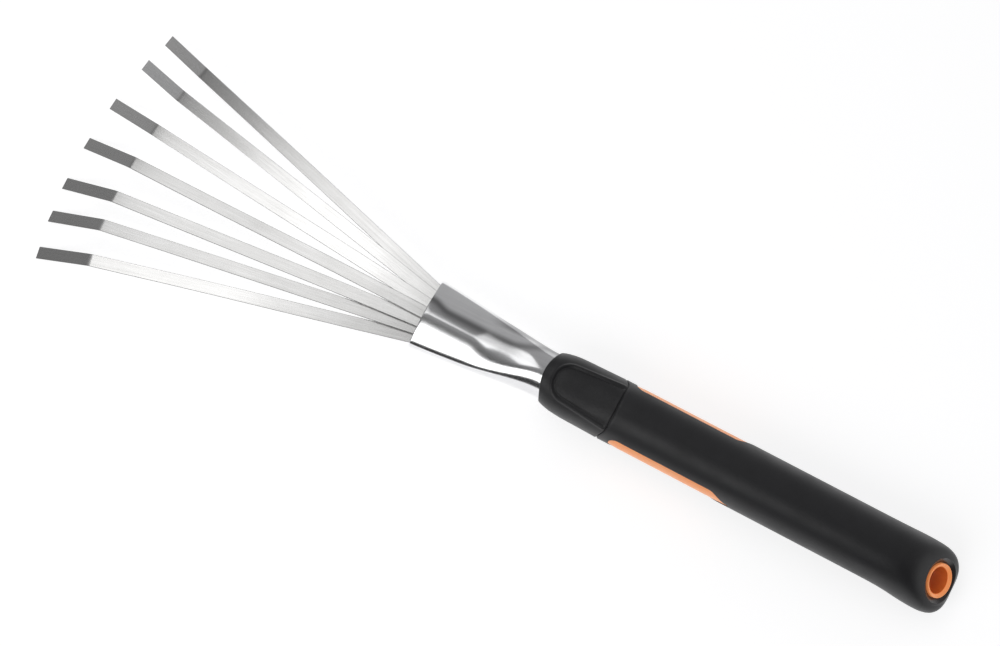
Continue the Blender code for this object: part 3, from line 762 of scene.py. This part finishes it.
def slant(turn):
    """Forward shift of the seam: none on top, full from the flanks down."""
    wrapped = abs(math.remainder(turn, 2.0 * math.pi))
    return -SEAM_SLANT * smooth((wrapped - 0.75) / 0.75)


def section_point(rows, x, turn, inset=0.0, power=2.0):
    """Point of a table's section; the turn starts on top and goes to +Y."""
    bottom, top, half = curve_through(rows, x)
    across = squared(math.sin(turn), power) * (half - inset)
    up = squared(math.cos(turn), power) * ((top - bottom) / 2.0 - inset)
    return Vector((SEAM_X + x, AXIS_Y + across, (top + bottom) / 2.0 + up))


def grip_section(x, inset, count):
    return [section_point(GRIP, x, turn, inset) for turn in turns(count)]


def grip_point(x, turn, inset):
    """Outside of the grip, pressed down to the slanted face at the butt."""
    point = section_point(GRIP, x, turn, inset)
    height = (point - HOLE).dot(NORMAL)
    if x > 130.0 and height > -6.0:
        level = -FACE_SOFTNESS * math.log(1.0 + math.exp(-height / FACE_SOFTNESS))
        point = point + NORMAL * (level - height) * smooth((height + 6.0) / 4.0)
    return point


def window_outline(inset, sign, corner_points=10):
    """Outline in XZ. The grip sits turned a little about the tool's axis, so
    the +Y window is slightly higher than the other."""
    lift_low, lift_high = (0.5, 0.5) if sign > 0 else (-0.6, -1.1)
    x0, x1, z0, z1 = WINDOW
    x0, x1 = x0 + inset, x1 - inset
    z0, z1 = z0 + lift_low + inset, z1 + lift_high - inset
    radius = WINDOW_CORNER - inset * 0.5
    points = []
    for start, z in ((math.pi / 2, z1 - radius), (math.pi, z0 + radius)):
        for i in range(corner_points):
            turn = start + math.pi / 2 * i / (corner_points - 1)
            points.append((x0 + radius + radius * math.cos(turn), z + radius * math.sin(turn)))
    steps = 16
    length = x1 - WINDOW_TAPER - WINDOW_OVERLAP - x0 - radius
    straight = [x0 + radius + length * i / steps for i in range(1, steps)]
    nose = []  # (x, distance in from the long side)
    for i in range(steps + 1):
        share = i / steps
        x = x1 - WINDOW_TAPER + WINDOW_TAPER * share - WINDOW_OVERLAP * (1 - share)
        nose.append((x, (z1 - z0) * 0.42 * smooth(share)))
    points += [(x, z0) for x in straight]
    points += [(x, z0 + rise) for x, rise in nose]
    points += [(x, z1 - rise) for x, rise in reversed(nose)]
    points += [(x, z1) for x in reversed(straight)]
    return points


def window_prism(name, inset, sign, near):
    """Prism of a window, from a distance near the axis outwards."""
    outline = window_outline(inset, sign)
    return prism(name, outline, AXIS_Y + sign * near, AXIS_Y + sign * WINDOW_FAR_Y)


def depth_and_radius(face):
    """Depth of a face below the slanted face, and distance from the hole's axis."""
    offset = face.center / MM - HOLE
    depth = -offset.dot(NORMAL)
    return depth, (offset + NORMAL * depth).length


def cut_hanging_hole(obj):
    """Recess for the lining, dished edge round it, and the hole to the far side."""
    boolean(obj, rod("clearance", EYELET_R + 0.2, HOLE + NORMAL * 8.0, HOLE - NORMAL * 9.0))
    dish_slope = (SINK_R - EYELET_R - 0.45) / SINK_DEPTH
    dish = rod(
        "dish",
        SINK_R + dish_slope * 2.0,
        HOLE + NORMAL * 2.0,
        HOLE - NORMAL * (SINK_DEPTH + 0.1),
        end_radius=EYELET_R + 0.45 - dish_slope * 0.1,
    )
    boolean(obj, dish)
    boolean(obj, rod("through", HOLE_R + 0.6, HOLE, HOLE - NORMAL * 50.0))


def build_grip():
    around = turns(192)
    stations = [0.0, 0.12, 0.35, 0.7, 1.4, 2.2, 3.0, 4.0, 5.5, 7.0, 9.0]
    stations += [11.0 + 2.5 * i for i in range(47)]
    stations += [128.0 + i for i in range(15)]
    stations += [143.0 + 13.1 * math.sin(math.pi / 2 * i / 44) for i in range(45)]
    inner = []
    for turn in around:
        x, y, z = section_point(GRIP, 0.0, turn, 4.0)
        inner.append((x + SEAM_GAP + slant(turn), y, z))
    rings = [inner]
    for station in stations:
        near_seam = 1.0 - smooth(station / 9.0)
        round_in = edge_rounding(0.45, 0.7, station)
        ring = []
        for turn in around:
            x, y, z = grip_point(station, turn, round_in)
            ring.append((x + (SEAM_GAP + slant(turn)) * near_seam, y, z))
        rings.append(ring)
    obj = rings_mesh("grip_moulding", rings)
    for _side, sign in SIDES:
        boolean(obj, window_prism("window", 0.0, sign, 7.3))
    cut_hanging_hole(obj)
    obj.data.materials.clear()
    coat(obj, 32.0, GRIP_BLACK, DISH_BLACK_PAINTED_HIGHLIGHT)
    # faces of the dished edge take the lighter black, a painted highlight with real glossiness
    for face in obj.data.polygons:
        depth, radius = depth_and_radius(face)
        dished = EYELET_R + 0.25 < radius < SINK_R + 0.6 and -0.6 < depth < SINK_DEPTH + 0.3
        tilted = (face.normal - NORMAL).length > 0.12
        face.material_index = 1 if dished and tilted else 0
    register(obj, "grip_sleeve")


build_grip()


def on_grip(x, z, sign):
    """Point on the grip's flank at a length and a height, and its normal."""
    bottom, top, half = curve_through(GRIP, x - SEAM_X)
    middle, half_h, half_w = (top + bottom) / 2.0, (top - bottom) / 2.0 - LIP_INSET, half - LIP_INSET
    cosine = (z - middle) / half_h
    sine = math.sqrt(max(0.0, 1.0 - cosine * cosine))
    normal = Vector((0.0, sign * sine / half_w, cosine / half_h)).normalized()
    return Vector((x, AXIS_Y + sign * half_w * sine, z)), normal


def build_window_pad(side, sign):
    """Orange pad that fills a window."""
    rings = [grip_section(1.5 + 2.0 * i, 0.3, 160) for i in range(31)]
    pad = rings_mesh("window_pad_" + side, rings)
    boolean(pad, window_prism("keep", -0.2, sign, 7.0), "INTERSECT")
    coat(pad, 30.0, ORANGE)
    register(pad, "handle_core")


def build_window_lip(side, sign):
    """Black bead round a window's edge, its sections evenly spaced."""
    outline = window_outline(-0.05, sign, 14)
    closed = np.array(outline + outline[:1])
    run, even = even_run(closed, 240)
    path, normals = [], []
    for x, z in zip(np.interp(even, run, closed[:, 0]), np.interp(even, run, closed[:, 1])):
        point, normal = on_grip(float(x), float(z), sign)
        path.append(point)
        normals.append(normal)
    bead = swept_bead("window_lip_" + side, path, normals, LIP_R, segments=12, flat=0.8)
    coat(bead, 80.0, GRIP_BLACK)
    register(bead)


for window_side, window_sign in SIDES:
    build_window_pad(window_side, window_sign)
    build_window_lip(window_side, window_sign)


def build_core():
    """Orange core inside the grip, with the spigot that enters the collar."""
    count = 96
    # (x from the seam, radius) of the spigot
    spigot = ((-8.0, 10.2), (-7.6, 10.6), (-0.5, 10.6), (0.6, 11.2))
    rings = [axis_ring([SEAM_X + x] * count, radius) for x, radius in spigot]
    rings += [grip_section(2.0 + 4.0 * i, 2.65, count) for i in range(31)]
    obj = rings_mesh("core_moulding", rings)
    bore = [axis_ring([SEAM_X + x] * count, 9.3) for x in (-10.0, -2.0, 28.0, 58.0)]
    boolean(obj, rings_mesh("bore", bore))
    coat(obj, 40.0, ORANGE)
    register(obj, "handle_core")


build_core()


def build_eyelet():
    """Orange lining of the hanging hole with its rounded rim."""
    # (radius, depth below the slanted face)
    profile = [
        (EYELET_R, 12.0), (EYELET_R, 0.80), (EYELET_R - 0.07, 0.62),
        (EYELET_R - 0.22, 0.55), (EYELET_R - 0.40, 0.60), (HOLE_R + 0.28, 1.20),
        (HOLE_R + 0.08, 1.36), (HOLE_R, 1.60), (HOLE_R, 2.4), (HOLE_R, 4.0),
        (HOLE_R, 8.0), (HOLE_R, 12.0),
    ]
    plane = plane_across(NORMAL)
    rings = [circle(HOLE - NORMAL * depth, *plane, radius, 96) for radius, depth in profile]
    obj = rings_mesh("hanging_hole_lining", rings, loop=True)
    coat(obj, 50.0, ORANGE_RIM_PAINTED_HIGHLIGHT, ORANGE_PAINTED_SHADE)
    # the bore deeper than 1.5 mm takes the darker orange as painted shade; the rim and the rest take
    # the stronger glow as painted highlight
    for face in obj.data.polygons:
        depth, radius = depth_and_radius(face)
        face.material_index = 1 if depth > 1.5 and radius < HOLE_R + 0.2 else 0
    register(obj, "handle_core")


build_eyelet()

# --------------------------------------------------------------------- collar
COLLAR_COUNT = 360
NOSE_BORE_R, TANG_BORE_R = NECK_R + 0.12, TANG_R + 0.3
SPIGOT_BORE_R, STEP_R, STEP_OUT = 10.9, 13.1, 0.36
PLAIN_GRAIN = 0.35  # grain outside the thumb panel, against 1 inside
# thumb panel: front end, half length, corner radius, middle across
PANEL_FRONT, PANEL_HALF_L, PANEL_CORNER, PANEL_MIDDLE = -28.9, 34.0, 6.6, -0.7


def panel_distance(x, across):
    """Signed distance to the U-shaped edge of the thumb panel (negative is
    inside): a round-nosed box open at the seam, narrower towards the front."""
    half_w = 9.95 + 0.09 * min(x, 0.0)
    past_x = abs(x - (PANEL_FRONT + PANEL_HALF_L)) - PANEL_HALF_L + PANEL_CORNER
    past_side = abs(across - PANEL_MIDDLE) - half_w + PANEL_CORNER
    outside = math.hypot(max(past_x, 0.0), max(past_side, 0.0))
    return outside + min(max(past_x, past_side), 0.0) - PANEL_CORNER


def panel_relief(x, distance):
    """Height added round the panel's edge, weaker close to the seam."""
    ridge = 0.34 * math.exp(-((distance / 0.50) ** 2))
    groove = 0.42 * math.exp(-(((distance + 1.05) / 0.45) ** 2))
    sunk = 0.30 * smooth((-distance - 0.7) / 0.9)
    return (ridge - groove - sunk) * (smooth(-x / 2.0) * 0.75 + 0.25)


def collar_point(share, turn):
    """Point of the collar at a share of its length, and its grain."""
    upper = max(math.cos(turn), 0.0)
    front = -30.6 - 2.8 * upper * upper
    x = front + (slant(turn) - front) * share
    power = 2.0 + 0.35 * math.sin(math.pi * min(max((x + 33.4) / 33.4, 0.0), 1.0))
    round_in = edge_rounding(0.40, 0.6, min(share * 33.0, (1.0 - share) * 33.0))
    point = section_point(COLLAR, x, turn, round_in, power)
    if math.cos(turn) <= 0.0:
        return point, PLAIN_GRAIN
    distance = panel_distance(x, point.y - AXIS_Y)
    out = Vector((0.0, math.sin(turn), math.cos(turn)))
    grain = PLAIN_GRAIN + (1.0 - PLAIN_GRAIN) * smooth((-distance - 0.8) / 0.6)
    return point + out * panel_relief(x, distance), grain


def build_collar():
    rings, grains = [], []
    for i in range(151):
        made = [collar_point(i / 150, turn) for turn in turns(COLLAR_COUNT)]
        rings.append([point for point, _grain in made])
        grains.append([grain for _point, grain in made])
    front, rear = ([point[0] for point in rings[k]] for k in (0, -1))
    spigot_seat = [SEAM_X - 8.4] * COLLAR_COUNT
    tang_seat = [SEAM_X - 20.0] * COLLAR_COUNT
    # (x of the points, shift, radius): a low step that closes the joint in
    # front of the grip, the bore for the spigot, and the bore for the socket
    inside = (
        (rear, 0.0, STEP_R), (rear, STEP_OUT, STEP_R), (rear, STEP_OUT, SPIGOT_BORE_R),
        (spigot_seat, 0.0, SPIGOT_BORE_R), (spigot_seat, 0.0, TANG_BORE_R),
        (tang_seat, 0.0, TANG_BORE_R), (front, 4.0, NOSE_BORE_R), (front, 0.15, NOSE_BORE_R),
    )
    for stations, shift, radius in inside:
        rings.append(axis_ring([x + shift for x in stations], radius))
        grains.append([PLAIN_GRAIN] * COLLAR_COUNT)
    obj = rings_mesh("collar_moulding", rings, loop=True, attribute=("panel", grains))
    coat(obj, 40.0, COLLAR_BLACK)
    register(obj, "front_collar")


build_collar()

# ------------------------------------------------------- the studio, in metres
# the table's own directions: right and ahead as the camera sees them
VIEW_TURN = math.radians(28.02)
RIGHT = Vector((math.cos(VIEW_TURN), math.sin(VIEW_TURN), 0.0))
AHEAD = Vector((-math.sin(VIEW_TURN), math.cos(VIEW_TURN), 0.0))


def build_stage():
    mesh = bpy.data.meshes.new("floor")
    bm = bmesh.new()
    bmesh.ops.create_grid(bm, x_segments=1, y_segments=1, size=3.0)
    bm.to_mesh(mesh)
    bm.free()
    floor = bpy.data.objects.new("floor", mesh)
    bpy.context.scene.collection.objects.link(floor)
    nodes = Nodes("floor_paper")
    nodes.set(
        Base_Color=(0.55, 0.55, 0.56, 1.0),
        Roughness=0.9,
        Specular_IOR_Level=0.0,
        Emission_Color=(1.0, 1.0, 1.0, 1.0),
        Emission_Strength=0.75,
    )
    floor.data.materials.append(nodes.material)


def softbox(name, right, ahead, up, size_right, size_ahead, radiance, aim=(0.0, 0.0, 0.0)):
    """Area light placed on the table's axes, given the brightness of its face."""
    data = bpy.data.lights.new(name, "AREA")
    data.shape = "RECTANGLE"
    data.size, data.size_y = size_right, size_ahead
    data.energy = radiance * math.pi * size_right * size_ahead
    data.spread = math.radians(180.0)
    obj = bpy.data.objects.new(name, data)
    place = RIGHT * right + AHEAD * ahead + Vector((SEAM_X * MM, 0.0, up))
    z = (place - Vector(aim)).normalized()
    x = (RIGHT - z * RIGHT.dot(z)).normalized()
    y = z.cross(x)
    obj.matrix_world = Matrix.Translation(place) @ Matrix((x, y, z)).transposed().to_4x4()
    bpy.context.scene.collection.objects.link(obj)


def build_world():
    """Grey surroundings that brighten from -Y to +Y."""
    world = bpy.data.worlds.new("studio")
    bpy.context.scene.world = world
    world.use_nodes = True
    tree = world.node_tree
    background = tree.nodes["Background"]
    where = tree.nodes.new("ShaderNodeTexCoord")
    parts = tree.nodes.new("ShaderNodeSeparateXYZ")
    tree.links.new(where.outputs["Generated"], parts.inputs["Vector"])
    scale = tree.nodes.new("ShaderNodeMapRange")
    scale.inputs["From Min"].default_value = -1.0
    scale.inputs["From Max"].default_value = 1.0
    tree.links.new(parts.outputs["Y"], scale.inputs["Value"])
    ramp = tree.nodes.new("ShaderNodeValToRGB")
    # (position from -Y to +Y, grey)
    stops = ((0.0, 0.03), (0.32, 0.08), (0.43, 0.24), (0.52, 0.26), (0.75, 0.38), (1.0, 0.42))
    fill_ramp(ramp.color_ramp, [(at, (grey, grey, grey * 1.01)) for at, grey in stops])
    tree.links.new(scale.outputs["Result"], ramp.inputs["Fac"])
    tree.links.new(ramp.outputs["Color"], background.inputs["Color"])
    background.inputs["Strength"].default_value = 1.0


def build_camera():
    data = bpy.data.cameras.new("camera")
    data.lens = 72.0
    data.sensor_width = 36.0
    data.clip_end = 20.0
    camera = bpy.data.objects.new("camera", data)
    camera.location = ((21.82 + SEAM_X) * MM, (-143.01 + AXIS_Y) * MM, 835.28 * MM)
    camera.rotation_euler = (math.radians(12.0), 0.0, VIEW_TURN)
    bpy.context.scene.collection.objects.link(camera)
    bpy.context.scene.camera = camera


build_stage()
softbox(
    "overhead_box", right=-0.37, ahead=0.42, up=1.0,
    size_right=0.50, size_ahead=0.65, radiance=1.08, aim=(-0.15, 0.0, 0.0),
)
softbox(
    "key_box", right=-0.78, ahead=-0.62, up=0.95,
    size_right=1.25, size_ahead=0.80, radiance=1.9,
)
build_world()
build_camera()
bpy.context.scene.view_settings.view_transform = "Standard"
